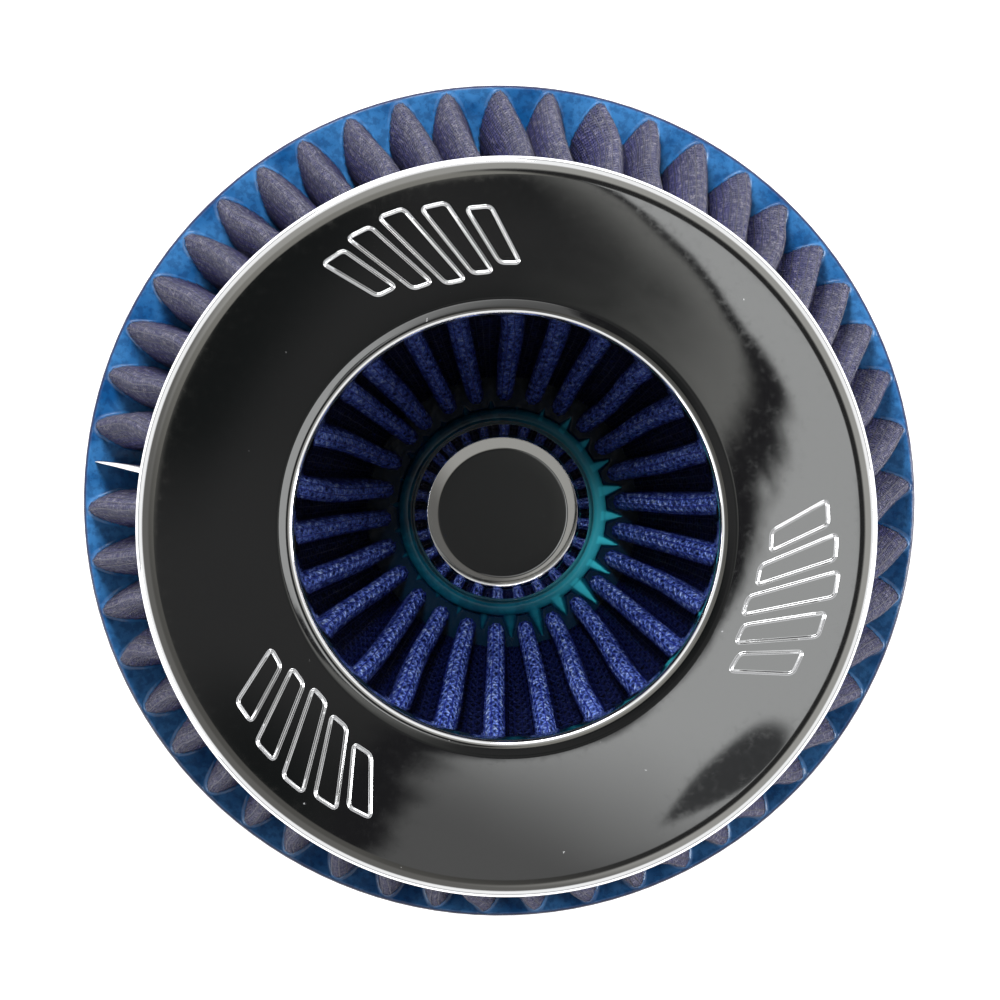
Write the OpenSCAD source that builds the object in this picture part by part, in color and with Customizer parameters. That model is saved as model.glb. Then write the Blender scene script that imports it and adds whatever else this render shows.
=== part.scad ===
// Conical air filter for a car's intake pipe: a pleated outer cone, an inverted pleated cone
// inside it, a plated ring cap over both, and a cast rubber flange with a hose clamp.
// Millimetres. The origin is the centre of the flange's open end, and +Z runs up the filter's
// axis to the cap. The hose clamp's screw lies on the -Y side.

/* [Flange] */
// Radius of the bore that slides over the intake pipe
bore_r = 51; // [45:0.5:64]
// Wall of the neck round the bore
neck_wall = 5; // [3:0.5:7]
// Length of the neck below the flange disc
neck_len = 25; // [24:1:45]
// How far the flange disc stands out past the bore
disc_overhang = 22; // [20:0.5:30]
// Thickness of the flange disc
disc_t = 13; // [8:0.5:20]
// Height of the retaining bead at the neck's open end
bead_h = 3; // [2:0.5:4]
// How far the retaining bead stands out of the neck
bead_out = 1.2; // [0.6:0.1:2]
// Chamfer at both ends of the bore
lead_in = 1; // [0.5:0.25:2]
// Rounding of the disc's upper edge
disc_edge_r = 0.8; // [0.4:0.1:1]
// Rounding of the disc's lower edge
disc_foot_r = 3; // [1:0.5:5]
// Fillet between the neck and the disc
neck_fillet_r = 4; // [1:0.5:5]

/* [Cap] */
// Height from the flange disc's face to the top of the cap
cone_h = 112.4; // [95:1:150]
// Outer radius of the cap
cap_r = 60.3; // [59:0.5:73]
// Radius of the hole in the cap
hole_r = 35.1; // [29:0.5:36]
// Sheet thickness of the cap
cap_wall = 0.9; // [0.6:0.1:1.2]
// Rise of the crowned face over its outer edge
cap_crown = 1.6; // [1:0.1:4]
// Depth of the outer skirt below the rolled rim
skirt_h = 7.8; // [6:0.2:14]
// Depth of the turned-down lip round the hole, below its bead
lip_h = 7.0; // [6:0.2:10]
// Radius of the rolled rim
rim_bead_r = 0.75; // [0.4:0.05:1.2]
// Radius of the bead round the hole
lip_bead_r = 1.25; // [0.8:0.05:1.8]

/* [Outer pleats] */
// Number of outer pleats beside the seam
outer_count = 49; // [36:1:54]
// Depth of the outer pleats at the flange
outer_depth_base = 12; // [9:0.5:13]
// Depth of the outer pleats at the cap
outer_depth_top = 10; // [8:0.5:11]
// Outside radius of an outer fold
outer_fold_r = 2.5; // [2.2:0.1:2.8]
// Angle that the outer pleats turn back by on their way up to the cap
twist_deg = 3.6; // [0:0.1:5]
// Angle of the seam about the axis, at the flange
seam_deg = 174.5; // [0:0.5:359.5]
// Angle between the two pleats beside the seam
seam_room_deg = 12.6; // [12.4:0.1:16]
// How far the seam clip's back lies inside the crests
seam_drop = 1.4; // [0.5:0.1:3]
// Length of the seam clip's legs
clip_leg = 6.4; // [4:0.1:7]
// Sheet thickness of the seam clip
clip_t = 0.35; // [0.2:0.05:0.6]

/* [Inner pleats] */
// Number of inner pleats
inner_count = 26; // [20:1:28]
// Crest radius of the inner pleats at their lower end
inner_nose_r = 18.4; // [18:0.2:22]
// Depth of the inner pleats at the cap
inner_depth_top = 6.2; // [5:0.1:7]
// Depth of the inner pleats at the nose
inner_depth_nose = 3.8; // [3:0.1:5]
// Outside radius of an inner fold at the cap
inner_fold_top = 1.65; // [1.5:0.05:2]
// Outside radius of an inner fold at the nose
inner_fold_nose = 1.3; // [1.25:0.05:1.5]
// Angle of the doubled pleat where the inner strip's ends lap
lap_deg = 136; // [0:0.5:359.5]
// Angle between the two crests of the doubled pleat
lap_room_deg = 10; // [9.8:0.1:14]

/* [Filter sheets] */
// Thickness of the outer cotton gauze
outer_gauze_t = 1.2; // [0.8:0.05:1.5]
// Thickness of the inner cotton gauze
inner_gauze_t = 0.6; // [0.4:0.05:0.7]
// Thickness of the outer wire screens
outer_screen_t = 0.3; // [0.2:0.05:0.35]
// Thickness of the inner wire screens
inner_screen_t = 0.2; // [0.15:0.05:0.25]

/* [Nose] */
// Depth of the nose resin's face below the top of the cap
nose_depth = 64.4; // [55:0.2:80]
// Thickness of the nose resin
nose_t = 10; // [7:0.5:14]
// Inner radius of the resin bead round the button
nose_bead_r = 15.4; // [14:0.1:16]
// Radius of the nose button
button_r = 12.5; // [10:0.1:13]
// Height of the button over the resin's face
button_h = 4.3; // [3:0.1:7]
// Rounding of the button's edge
button_edge_r = 1.2; // [0.5:0.1:2]
// Sheet thickness of the button
button_wall = 0.8; // [0.5:0.1:1.2]

/* [Hose clamp] */
// Width of the clamp band
band_w = 12.7; // [10:0.1:13]
// Thickness of the clamp band
band_t = 0.6; // [0.4:0.05:0.8]
// Height of the band's middle over the neck's open end
band_z = 11.4; // [10.5:0.1:13]
// Angle that the free end runs on past the screw
tail_deg = 38; // [25:1:60]
// Radius of the clamp screw's thread
screw_r = 3.6; // [3:0.1:4]
// Length of the clamp screw under its head
screw_len = 26; // [20:0.5:32]
// Width of the screw's hexagon across its flats
hex_af = 7.9; // [7:0.1:8]
// Height of the screw's hexagon
hex_h = 5; // [3:0.5:7]
// Length of the screw housing
housing_len = 15; // [12:0.5:18]
// Sheet thickness of the screw housing
housing_t = 0.9; // [0.6:0.1:1.2]

/* [Hidden] */
$fn = 96;

resin_blue = [0.10, 0.38, 0.74];
resin_teal = [0.05, 0.40, 0.50];
gauze_grey = [0.44, 0.42, 0.50];
gauze_blue = [0.16, 0.19, 0.64];
wire_grey = [0.55, 0.55, 0.60];
plate_chrome = [0.80, 0.81, 0.83];
steel_bright = [0.72, 0.73, 0.75];

// Clearances: between stacked sheets, round what a casting holds, round the seam's fin and round the screw
sheet_gap = 0.05;
cast_gap = 0.05;
clip_gap = 0.14;
run_gap = 0.06;
// What a cut runs past the face that it leaves
past = 1;
// Half the width of the thinnest tongue that a casting sends into a fold
least_tongue = 0.2;
// How far the cap's rubber stays up inside its skirt
pot_inset = 2;
// How far the outer crests lie inside the cap's skirt and the disc's edge, and the inner ones off the lip
crest_inset = 0.9;
foot_inset = 1.9;
lip_room = 1.3;
// How far the nose resin stands out round the inner pleats, and how far it grips the button's flange
nose_wall = 3;
flange_grip = 0.9;
// Rounding of the neck's bead, the run of its foot, and the rounding of the nose resin's lower edge
bead_round = 1;
bead_foot = 0.6;
nose_round = 1;
// Where the cap's crown peaks between hole and rim, and the flat that it leaves beside the rolled rim
crown_peak_share = 0.46;
crown_land = 0.4;
// How flat the crown's middle is: 2 is a parabola, and more is flatter with a steeper edge
crown_power = 4;

// Levels and radii that several pieces share
neck_r = bore_r + neck_wall;
disc_r = bore_r + disc_overhang;
disc_z = neck_len + disc_t;
cap_z = disc_z + cone_h;
rim_z = cap_z - cap_crown;
skirt_z = rim_z - skirt_h;
pot_z = skirt_z + pot_inset;
skirt_in_r = cap_r - cap_wall;
lip_out_r = hole_r + cap_wall;
nose_z = cap_z - nose_depth;

// How deep the pleats' ends stand in the castings
outer_embed = 2;
inner_embed = 1.5;

// Sheet stacks, counted inward from the face that the dirty air meets
outer_stack = outer_gauze_t + 2 * (outer_screen_t + sheet_gap);
inner_stack = inner_gauze_t + 2 * (inner_screen_t + sheet_gap);

// A pack holds the crests' angles, the side that they point to (1 outward, -1 inward), the
// share of the pitch that the slit between two pleats takes, and the angle of the seam's fin
outer_pitch = (360 - seam_room_deg) / (outer_count - 1);
outer_angles = [
    seam_deg,
    for (i = [0 : outer_count - 1]) seam_deg + seam_room_deg / 2 + i * outer_pitch
];
inner_pitch = (360 - lap_room_deg) / (inner_count - 1);
inner_angles = [for (i = [0 : inner_count - 1]) lap_deg + lap_room_deg / 2 + i * inner_pitch];
outer_slit = 0.13;
inner_slit = 0.25;
outer_pack = [outer_angles, 1, outer_slit, seam_deg];
inner_pack = [inner_angles, -1, inner_slit, undef];

// An end holds its height, crest radius, valley radius, fold radius and turn about the axis
crest_top = skirt_in_r - crest_inset;
crest_base = disc_r - foot_inset;
inner_top_r = lip_out_r + lip_room;
outer_low = [disc_z - outer_embed, crest_base, crest_base - outer_depth_base, outer_fold_r, 0];
outer_high = [pot_z + outer_embed, crest_top, crest_top - outer_depth_top, outer_fold_r, -twist_deg];
inner_low = [nose_z - inner_embed, inner_nose_r, inner_nose_r + inner_depth_nose, inner_fold_nose, 0];
inner_high = [pot_z + inner_embed, inner_top_r, inner_top_r + inner_depth_top, inner_fold_top, 0];

// The seam's fin: half its thickness, how far the stack is squeezed in it, and its root over the valley
fin_half = 0.35;
fin_squeeze = 0.15;
fin_root = 2;

// Directions of the four points that round a fold
fold_turns = [-70, -25, 25, 70];

// Radii of the band's two turns, and the angles of its start and of its step from one turn to the next
band_gap = 0.08;
turn_gap = 0.05;
turn_1_r = neck_r + band_gap;
turn_2_r = turn_1_r + band_t + turn_gap;
band_start_deg = -6;
step_from_deg = 344;
step_to_deg = 352;

// Slots for the screw's thread
slot_pitch_deg = 3;
slot_w = 1.2;
slot_len = 8;
slot_lean = 7;
slot_first_deg = 225;

// Screw and housing: the screw's place, the collar that its groove turns in, and its head
screw_y = turn_2_r + band_t + run_gap + screw_r;
housing_half_w = band_w / 2 + run_gap + housing_t;
housing_roof_r = screw_r + run_gap + housing_t;
groove_depth = 1.1;
collar_r = screw_r - groove_depth;
collar_t = 1.2;
collar_lift = 1.4;
head_stand = 3;
head_x = housing_len / 2 + collar_t + head_stand;
tip_chamfer = 0.8;
hex_land = 0.05;
driver_slot_w = 1.2;
driver_slot_h = 2;

// Points of an arc about c from angle a0 to angle a1
function arc(c, r, a0, a1, n = 8) =
    [for (i = [0 : n]) c + r * [cos(a0 + (a1 - a0) * i / n), sin(a0 + (a1 - a0) * i / n)]];

// A value between two, and an end of a pack at height z
function between(a, b, t) = a + (b - a) * t;
function end_at(low, high, z) = [
    z,
    for (k = [1 : 4]) between(low[k], high[k], (z - low[0]) / (high[0] - low[0]))
];

// The point at radius r and x across, seen from the axis at angle a
function seen_at(a, r, x) = [r * cos(a) - x * sin(a), r * sin(a) + x * cos(a)];

// The four points that take one fold round, o below the front face
function crest(a, end, side, o) = [
    for (turn = fold_turns)
        seen_at(a, end[1] - side * end[3] + side * (end[3] - o) * cos(turn), (end[3] - o) * sin(turn))
];

// The seam's fin in place of a fold: root, tip, tip, root. grow widens it for a pocket
function fin(a, end, side, o, grow) =
    let (half = fin_half - o * fin_squeeze + grow)
    let (tip = end[1] - side * (seam_drop + o * fin_squeeze - grow))
    let (root = end[2] + side * (fin_root - o + grow))
    [seen_at(a, root, -half), seen_at(a, tip, -half), seen_at(a, tip, half), seen_at(a, root, half)];

// The two points of the valley between the crests at angles a and b
function valley(a, b, end, side, share, o) =
    let (half = end[2] * tan((b - a) / 2) * share + o)
    [for (x = [-half, half]) seen_at((a + b) / 2, end[2] - side * o, x)];

// A closed line round the pack, o below its front face, at one end, and grow in front of that
function pleat_line(pack, end, o, grow = 0) =
    let (angles = pack[0], n = len(angles))
    [
        for (i = [0 : n - 1])
            let (a = angles[i] + end[4], b = angles[(i + 1) % n] + end[4] + (i == n - 1 ? 360 : 0))
            each concat(
                angles[i] == pack[3] ? fin(a, end, pack[1], o, grow) : crest(a, end, pack[1], o - grow),
                valley(a, b, end, pack[1], pack[2], o - grow)
            )
    ];

// The closed line behind the pack, o below its front face, which enters only folds wide enough to cast in
function cast_line(pack, end, o) =
    let (angles = pack[0], n = len(angles))
    [
        for (i = [0 : n - 1])
            let (a = angles[i] + end[4], b = angles[(i + 1) % n] + end[4] + (i == n - 1 ? 360 : 0))
            each concat(
                angles[i] == pack[3] || end[3] - o < least_tongue ? [] : crest(a, end, pack[1], o),
                valley(a, b, end, pack[1], pack[2], o)
            )
    ];

function at_height(line, z) = [for (p = line) [p[0], p[1], z]];

// One pleated sheet between depths o_front and o_back, from the low end to the high end
module pleated_sheet(pack, low, high, o_front, o_back) {
    o_outer = pack[1] > 0 ? o_front : o_back;
    o_inner = pack[1] > 0 ? o_back : o_front;
    lines = [
        at_height(pleat_line(pack, low, o_outer), low[0]),
        at_height(pleat_line(pack, high, o_outer), high[0]),
        at_height(pleat_line(pack, low, o_inner), low[0]),
        at_height(pleat_line(pack, high, o_inner), high[0])
    ];
    n = len(lines[0]);
    faces = [
        for (i = [0 : n - 1])
            let (j = (i + 1) % n, up = n, in = 2 * n, in_up = 3 * n)
            each [
                [i, i + up, j + up],
                [i, j + up, j],
                [i + in, j + in, j + in_up],
                [i + in, j + in_up, i + in_up],
                [j + up, i + up, i + in_up],
                [j + up, i + in_up, j + in_up],
                [i, j, j + in],
                [i, j + in, i + in]
            ]
    ];
    polyhedron(points = [for (line = lines) each line], faces = faces);
}

// The pocket that a pack's end stands in, between the heights z_from and z_to and run out past the face
// at z_out. Its walls are straight, and wide enough for the pack's lean
module pleat_pocket(pack, low, high, stack, z_from, z_to, z_out) {
    share = (z_to - z_from) / 2 / (high[0] - low[0]);
    lean = norm([high[1] - low[1], max(low[1], high[1]) * (high[4] - low[4]) * PI / 180]) * share;
    wide = lean + cast_gap;
    end = end_at(low, high, (z_from + z_to) / 2);
    front = pleat_line(pack, end, 0, wide);
    back = cast_line(pack, end, stack + wide);
    z_low = z_out < z_from ? z_out : z_from - cast_gap;
    z_high = z_out < z_from ? z_to + cast_gap : z_out;
    translate([0, 0, z_low])
        linear_extrude(z_high - z_low)
            polygon(
                concat(front, back),
                [[for (i = [0 : len(front) - 1]) i], [for (i = [0 : len(back) - 1]) len(front) + i]]
            );
}

// Cast rubber flange: neck with its retaining bead, and the disc that holds the outer pleats' feet
module base_flange() {
    color(resin_blue)
        difference() {
            rotate_extrude()
                polygon(concat(
                    [[bore_r + lead_in, 0]],
                    arc([neck_r + bead_out - bead_round, bead_round], bead_round, -90, 0),
                    arc([neck_r + bead_out - bead_round, bead_h - bead_round], bead_round, 0, 60),
                    [[neck_r, bead_h + bead_foot]],
                    arc([neck_r + neck_fillet_r, neck_len - neck_fillet_r], neck_fillet_r, 180, 90),
                    arc([disc_r - disc_foot_r, neck_len + disc_foot_r], disc_foot_r, -90, 0),
                    arc([disc_r - disc_edge_r, disc_z - disc_edge_r], disc_edge_r, 0, 90),
                    [[bore_r + lead_in, disc_z], [bore_r, disc_z - lead_in], [bore_r, lead_in]]
                ));
            pleat_pocket(
                outer_pack, outer_low, outer_high, outer_stack,
                outer_low[0], disc_z, disc_z + past
            );
        }
}

module outer_front_screen() {
    color(wire_grey)
        pleated_sheet(outer_pack, outer_low, outer_high, 0, outer_screen_t);
}

module outer_gauze() {
    front = outer_screen_t + sheet_gap;
    color(gauze_grey)
        pleated_sheet(outer_pack, outer_low, outer_high, front, front + outer_gauze_t);
}

module outer_back_screen() {
    color(wire_grey)
        pleated_sheet(outer_pack, outer_low, outer_high, outer_stack - outer_screen_t, outer_stack);
}

module inner_front_screen() {
    color(wire_grey)
        pleated_sheet(inner_pack, inner_low, inner_high, 0, inner_screen_t);
}

module inner_gauze() {
    front = inner_screen_t + sheet_gap;
    color(gauze_blue)
        pleated_sheet(inner_pack, inner_low, inner_high, front, front + inner_gauze_t);
}

module inner_back_screen() {
    color(wire_grey)
        pleated_sheet(inner_pack, inner_low, inner_high, inner_stack - inner_screen_t, inner_stack);
}

// The clip's outline at height z: out along one leg, round its back, in along the other leg and back inside
function clip_line(z) =
    let (end = end_at(outer_low, outer_high, z))
    let (back = end[1] - seam_drop + clip_gap, slot_half = fin_half + clip_gap, half = slot_half + clip_t)
    [
        for (p = concat(
            [[back - clip_leg, -half]],
            arc([back, 0], half, -90, 90),
            [[back - clip_leg, half], [back - clip_leg, slot_half]],
            [[back, slot_half], [back, -slot_half]],
            [[back - clip_leg, -slot_half]]
        ))
            concat(seen_at(seam_deg + end[4], p[0], p[1]), z)
    ];

// Folded sheet-metal clip that pinches the two ends of the outer strip together. Its inner faces are split
// along the same diagonals as the fin's, so the two stay parallel where the pleats turn
module outer_seam_clip() {
    low = clip_line(disc_z + cast_gap);
    high = clip_line(pot_z - cast_gap);
    n = len(low);
    inner_from = n - 4;
    bend = (n - 7) / 2;
    ends = concat(
        [[0, 1, n - 2], [0, n - 2, n - 1], [bend + 1, n - 3, n - 2]],
        [for (i = [1 : bend]) [i, i + 1, n - 2]],
        [for (i = [bend + 1 : 2 * bend]) [i, i + 1, n - 3]],
        [[n - 6, n - 5, n - 3], [n - 5, n - 4, n - 3]]
    );
    color(steel_bright)
        polyhedron(
            points = concat(low, high),
            faces = concat(
                [
                    for (i = [0 : n - 1])
                        let (j = (i + 1) % n)
                        each i < inner_from
                            ? [[i, i + n, j + n], [i, j + n, j]]
                            : [[i, i + n, j], [j, i + n, j + n]]
                ],
                ends,
                [for (f = ends) [f[2] + n, f[1] + n, f[0] + n]]
            )
        );
}

// Height of the cap's crowned face over the radius r
crown_peak_r = between(hole_r, cap_r, crown_peak_share);
crown_out_r = cap_r - 2 * rim_bead_r - crown_land;
crown_fall = cap_crown / pow(crown_out_r - crown_peak_r, crown_power);
function crown_z(r) = cap_z - crown_fall * pow(abs(r - crown_peak_r), crown_power);
function crown_line(r_from, r_to, drop, n = 14) =
    [for (i = [0 : n]) let (r = between(r_from, r_to, i / n)) [r, crown_z(r) - drop]];

// Plated ring cap: skirt, rolled rim, crowned face, and the beaded lip turned down into the hole
module top_cap() {
    lip_c = [hole_r + lip_bead_r, crown_z(hole_r + 2 * lip_bead_r)];
    lip_z = lip_c[1] - lip_h;
    color(plate_chrome)
        rotate_extrude()
            polygon(concat(
                [[skirt_in_r, skirt_z], [cap_r, skirt_z]],
                arc([cap_r - rim_bead_r, rim_z], rim_bead_r, 0, 180),
                crown_line(crown_out_r, hole_r + 2 * lip_bead_r, 0),
                arc(lip_c, lip_bead_r, 0, 180, 10),
                [[hole_r, lip_z], [lip_out_r, lip_z]],
                crown_line(lip_out_r, skirt_in_r, cap_wall)
            ));
}

// Rubber cast in the cap's channel, which holds the upper ends of both pleated cones
module top_potting() {
    in_r = lip_out_r + cast_gap;
    out_r = skirt_in_r - cast_gap;
    color(resin_blue)
        difference() {
            rotate_extrude()
                polygon(concat(
                    [[in_r, pot_z], [out_r, pot_z]],
                    crown_line(out_r, in_r, cap_wall + cast_gap)
                ));
            pleat_pocket(
                outer_pack, outer_low, outer_high, outer_stack,
                pot_z, outer_high[0], pot_z - past
            );
            pleat_pocket(
                inner_pack, inner_low, inner_high, inner_stack,
                pot_z, inner_high[0], pot_z - past
            );
        }
}

// Resin disc that closes the lower end of the inner cone and holds the button's flange
module nose_potting() {
    out_r = inner_low[2] + inner_stack + nose_wall;
    low_z = nose_z - nose_t;
    bead_c = [(nose_bead_r + inner_nose_r) / 2, nose_z];
    bead_w = (inner_nose_r - nose_bead_r) / 2;
    flange_r = nose_bead_r + flange_grip;
    color(resin_teal)
        difference() {
            rotate_extrude()
                polygon(concat(
                    [[0, low_z]],
                    arc([out_r - nose_round, low_z + nose_round], nose_round, -90, 0),
                    [[out_r, nose_z]],
                    arc(bead_c, bead_w, 0, 180),
                    [[nose_bead_r, nose_z - button_wall], [0, nose_z - button_wall]]
                ));
            rotate_extrude()
                translate([0, nose_z - button_wall - cast_gap])
                    square([flange_r + cast_gap, button_wall + 2 * cast_gap]);
            pleat_pocket(
                inner_pack, inner_low, inner_high, inner_stack,
                inner_low[0], nose_z, nose_z + past
            );
        }
}

// Plated button pressed from sheet, with a flange that the nose resin holds
module nose_button() {
    flange_r = nose_bead_r + flange_grip;
    root_r = 0.3;
    top_z = nose_z + button_h;
    edge_c = [button_r - button_edge_r, top_z - button_edge_r];
    color(plate_chrome)
        rotate_extrude()
            polygon(concat(
                [[0, top_z - button_wall]],
                arc(edge_c, button_edge_r - button_wall, 90, 0),
                [[button_r - button_wall, nose_z - button_wall], [flange_r, nose_z - button_wall]],
                [[flange_r, nose_z]],
                [[button_r + root_r, nose_z], [button_r, nose_z + root_r]],
                arc(edge_c, button_edge_r, 0, 90),
                [[0, top_z]]
            ));
}

// The clamp's angles run from the screw, which lies on the -Y side, over +X
function on_clamp(r, s) = [-r * sin(s), -r * cos(s)];
function step_share(s) = min(1, max(0, (s - step_from_deg) / (step_to_deg - step_from_deg)));
function turn_r(s) = between(turn_1_r, turn_2_r, step_share(s));

// Clamp band: one turn round the neck that steps up over its own start and runs on as a slotted tail
module clamp_band() {
    to = 360 + tail_deg;
    steps = round((to - band_start_deg) / slot_pitch_deg);
    angles = [for (i = [0 : steps]) between(band_start_deg, to, i / steps)];
    slots = floor((to - slot_pitch_deg - slot_first_deg) / slot_pitch_deg);
    color(steel_bright)
        difference() {
            translate([0, 0, band_z - band_w / 2])
                linear_extrude(band_w)
                    polygon(concat(
                        [for (s = angles) on_clamp(turn_r(s), s)],
                        [for (i = [0 : steps]) let (s = angles[steps - i]) on_clamp(turn_r(s) + band_t, s)]
                    ));
            for (i = [0 : slots])
                let (s = slot_first_deg + i * slot_pitch_deg)
                    rotate([0, 0, -s])
                        translate([0, -turn_r(s) - band_t / 2, band_z])
                            rotate([0, slot_lean, 0])
                                cube([slot_w, band_t + turn_gap, slot_len], center = true);
        }
}

// Pressed housing that straddles the band, with an end collar that keeps the screw in
module clamp_housing() {
    foot_y = neck_r + band_gap;
    band_top = turn_2_r + band_t + run_gap;
    color(steel_bright)
        translate([0, 0, band_z])
            rotate([90, 0, 90])
                difference() {
                    translate([0, 0, -housing_len / 2])
                        linear_extrude(housing_len + collar_t)
                            union() {
                                translate([-screw_y, 0])
                                    circle(housing_roof_r);
                                translate([-screw_y, -housing_half_w])
                                    square([screw_y - foot_y, 2 * housing_half_w]);
                            }
                    translate([0, 0, -housing_len / 2 - past])
                        linear_extrude(housing_len + past)
                            translate([-screw_y, 0])
                                circle(screw_r + run_gap);
                    translate([0, 0, -housing_len / 2 - past])
                        linear_extrude(housing_len + collar_t + 2 * past)
                            translate([-band_top, -band_w / 2 - run_gap])
                                square([band_top - foot_y + past, band_w + 2 * run_gap]);
                    translate([-screw_y, 0, 0])
                        cylinder(r = collar_r + run_gap, h = housing_len);
                    translate([0, 0, housing_len / 2])
                        linear_extrude(collar_t + past)
                            translate([-turn_2_r - band_t - collar_lift, -housing_half_w - past])
                                square([screw_y, 2 * (housing_half_w + past)]);
                }
}

// Worm screw with a slotted hexagon head; it turns in the housing's collar
module clamp_screw() {
    groove_x = housing_len / 2;
    tip_x = head_x - screw_len;
    color(steel_bright)
        translate([0, -screw_y, band_z])
            rotate([0, 90, 0])
                difference() {
                    union() {
                        translate([0, 0, tip_x])
                            cylinder(r1 = screw_r - tip_chamfer, r2 = screw_r, h = tip_chamfer);
                        translate([0, 0, tip_x + tip_chamfer])
                            cylinder(r = screw_r, h = groove_x - run_gap - tip_x - tip_chamfer);
                        translate([0, 0, groove_x - run_gap - past])
                            cylinder(r = collar_r, h = head_x - groove_x + 2 * past);
                        translate([0, 0, groove_x + collar_t + run_gap])
                            cylinder(r = screw_r, h = head_x - groove_x - collar_t - run_gap);
                        translate([0, 0, head_x])
                            intersection() {
                                cylinder(r = hex_af / sqrt(3), h = hex_h, $fn = 6);
                                cylinder(r1 = hex_af / 2 + hex_h, r2 = hex_af / 2 + hex_land, h = hex_h);
                            }
                    }
                    translate([-driver_slot_w / 2, -hex_af, head_x + hex_h - driver_slot_h])
                        cube([driver_slot_w, 2 * hex_af, driver_slot_h + past]);
                }
}

base_flange();
outer_front_screen();
outer_gauze();
outer_back_screen();
outer_seam_clip();
inner_front_screen();
inner_gauze();
inner_back_screen();
top_cap();
top_potting();
nose_potting();
nose_button();
clamp_band();
clamp_housing();
clamp_screw();
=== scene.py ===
# %% [markdown]
# # A cone air filter, seen from above
#
# The filter stands on its neck. From the top one sees a plated ring cap, the tips of the outer
# pleats on a cast blue flange, and down through the cap's hole an inverted cone of blue pleats with
# a plated button in teal resin at its bottom. The hard parts arrive as a fixed frame. This script
# gives them their finishes, and makes the soft and fine parts: the folded gauze and its wire
# screens, the resin that creeps up the pleats, the cap's raised ornament and the screw's thread.

import math
import random

import bmesh
import bpy
from mathutils import Matrix, Vector


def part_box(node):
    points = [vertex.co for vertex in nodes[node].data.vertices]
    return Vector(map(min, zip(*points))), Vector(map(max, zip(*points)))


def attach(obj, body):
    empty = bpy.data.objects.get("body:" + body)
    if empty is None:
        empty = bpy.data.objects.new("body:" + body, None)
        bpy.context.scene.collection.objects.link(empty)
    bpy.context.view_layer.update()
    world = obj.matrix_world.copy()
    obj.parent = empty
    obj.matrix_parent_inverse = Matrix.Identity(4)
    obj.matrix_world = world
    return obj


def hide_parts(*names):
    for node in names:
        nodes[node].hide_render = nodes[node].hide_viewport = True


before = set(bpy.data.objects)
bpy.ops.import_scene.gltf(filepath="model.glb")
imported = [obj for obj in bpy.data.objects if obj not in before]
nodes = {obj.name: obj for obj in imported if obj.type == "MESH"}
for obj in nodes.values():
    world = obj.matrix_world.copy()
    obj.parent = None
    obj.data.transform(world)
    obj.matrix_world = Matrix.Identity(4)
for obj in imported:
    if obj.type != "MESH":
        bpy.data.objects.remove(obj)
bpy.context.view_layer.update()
mm = 0.001

# %% [markdown]
# The levels of the real object come from the frame's own boxes, so that every new piece sits on
# what carries it. Radii of round parts are half the width of their boxes.

# %% Levels and radii, in metres


def radius(node):
    low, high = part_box(node)
    return (high.x - low.x) / 2


cap_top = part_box("top_cap")[1].z
cap_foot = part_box("top_cap")[0].z
flange_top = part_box("base_flange")[1].z
flange_r = radius("base_flange")
nose_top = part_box("nose_potting")[1].z
button_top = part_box("nose_button")[1].z
print(f"flange at {flange_top / mm:.1f} mm, cap at {cap_top / mm:.1f} mm, button at {button_top / mm:.1f} mm")

# %% [markdown]
# The camera looks down the filter's axis from about a metre and a half away through a long lens.
# Its place follows from two circles in the picture: the flange's edge and the cap's edge, whose
# centres lie a little apart because the view is tilted by about two degrees.

# %% Camera
picture = 1000
focal_px = 8454
sensor_mm = 36
camera_distance = 1.484
camera_direction = Vector((-0.0108, 0.0376, 0.9992)).normalized()
flange_centre_px = Vector((499.4, 501.4))
px_per_m = focal_px / camera_distance
aim = Vector((
    (picture / 2 - flange_centre_px.x) / px_per_m,
    (flange_centre_px.y - picture / 2) / px_per_m,
    flange_top,
))
camera_data = bpy.data.cameras.new("camera")
camera_data.sensor_width = sensor_mm
camera_data.lens = focal_px / picture * sensor_mm
camera_data.clip_end = 20
camera = bpy.data.objects.new("camera", camera_data)
camera.location = aim + camera_direction * camera_distance
view_z = camera_direction
view_x = Vector((0, 1, 0)).cross(view_z).normalized()
view_y = view_z.cross(view_x)
camera.rotation_euler = Matrix((view_x, view_y, view_z)).transposed().to_euler()
bpy.context.scene.collection.objects.link(camera)
bpy.context.scene.camera = camera
print(f"lens {camera_data.lens:.0f} mm")

# %% [markdown]
# ## Studio
#
# Chrome shows its surroundings, so the studio is part of the finish. The real picture was taken in
# a white tent that is open at the top: near the zenith there is a dark ceiling on the left, and a
# grey sheet with soft folds on the right and towards the bottom. The world's background paints
# that by direction. Soft lamps at the top and the right light the pleats, and a weak one fills the left.
# The lamps are hidden from the camera, to which the tent is white and the floor nearly so.

# %% Studio
scene = bpy.context.scene
scene.view_settings.view_transform = "Standard"


def new_material(name):
    material = bpy.data.materials.new(name)
    material.use_nodes = True
    material.node_tree.nodes.clear()
    return material


def add(tree, kind, **values):
    """Adds a shader node, sets its properties, and its inputs where the name is one."""
    node = tree.nodes.new(kind)
    for key, value in values.items():
        if key.startswith("in_"):
            node.inputs[key[3:].replace("_", " ")].default_value = value
        else:
            setattr(node, key, value)
    return node


def math_node(tree, operation, a, b=None, c=None, clamp=False):
    node = tree.nodes.new("ShaderNodeMath")
    node.operation = operation
    node.use_clamp = clamp
    for socket, value in zip(node.inputs, (a, b, c)):
        if value is None:
            continue
        if isinstance(value, (int, float)):
            socket.default_value = value
        else:
            tree.links.new(value, socket)
    return node.outputs[0]


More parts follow.
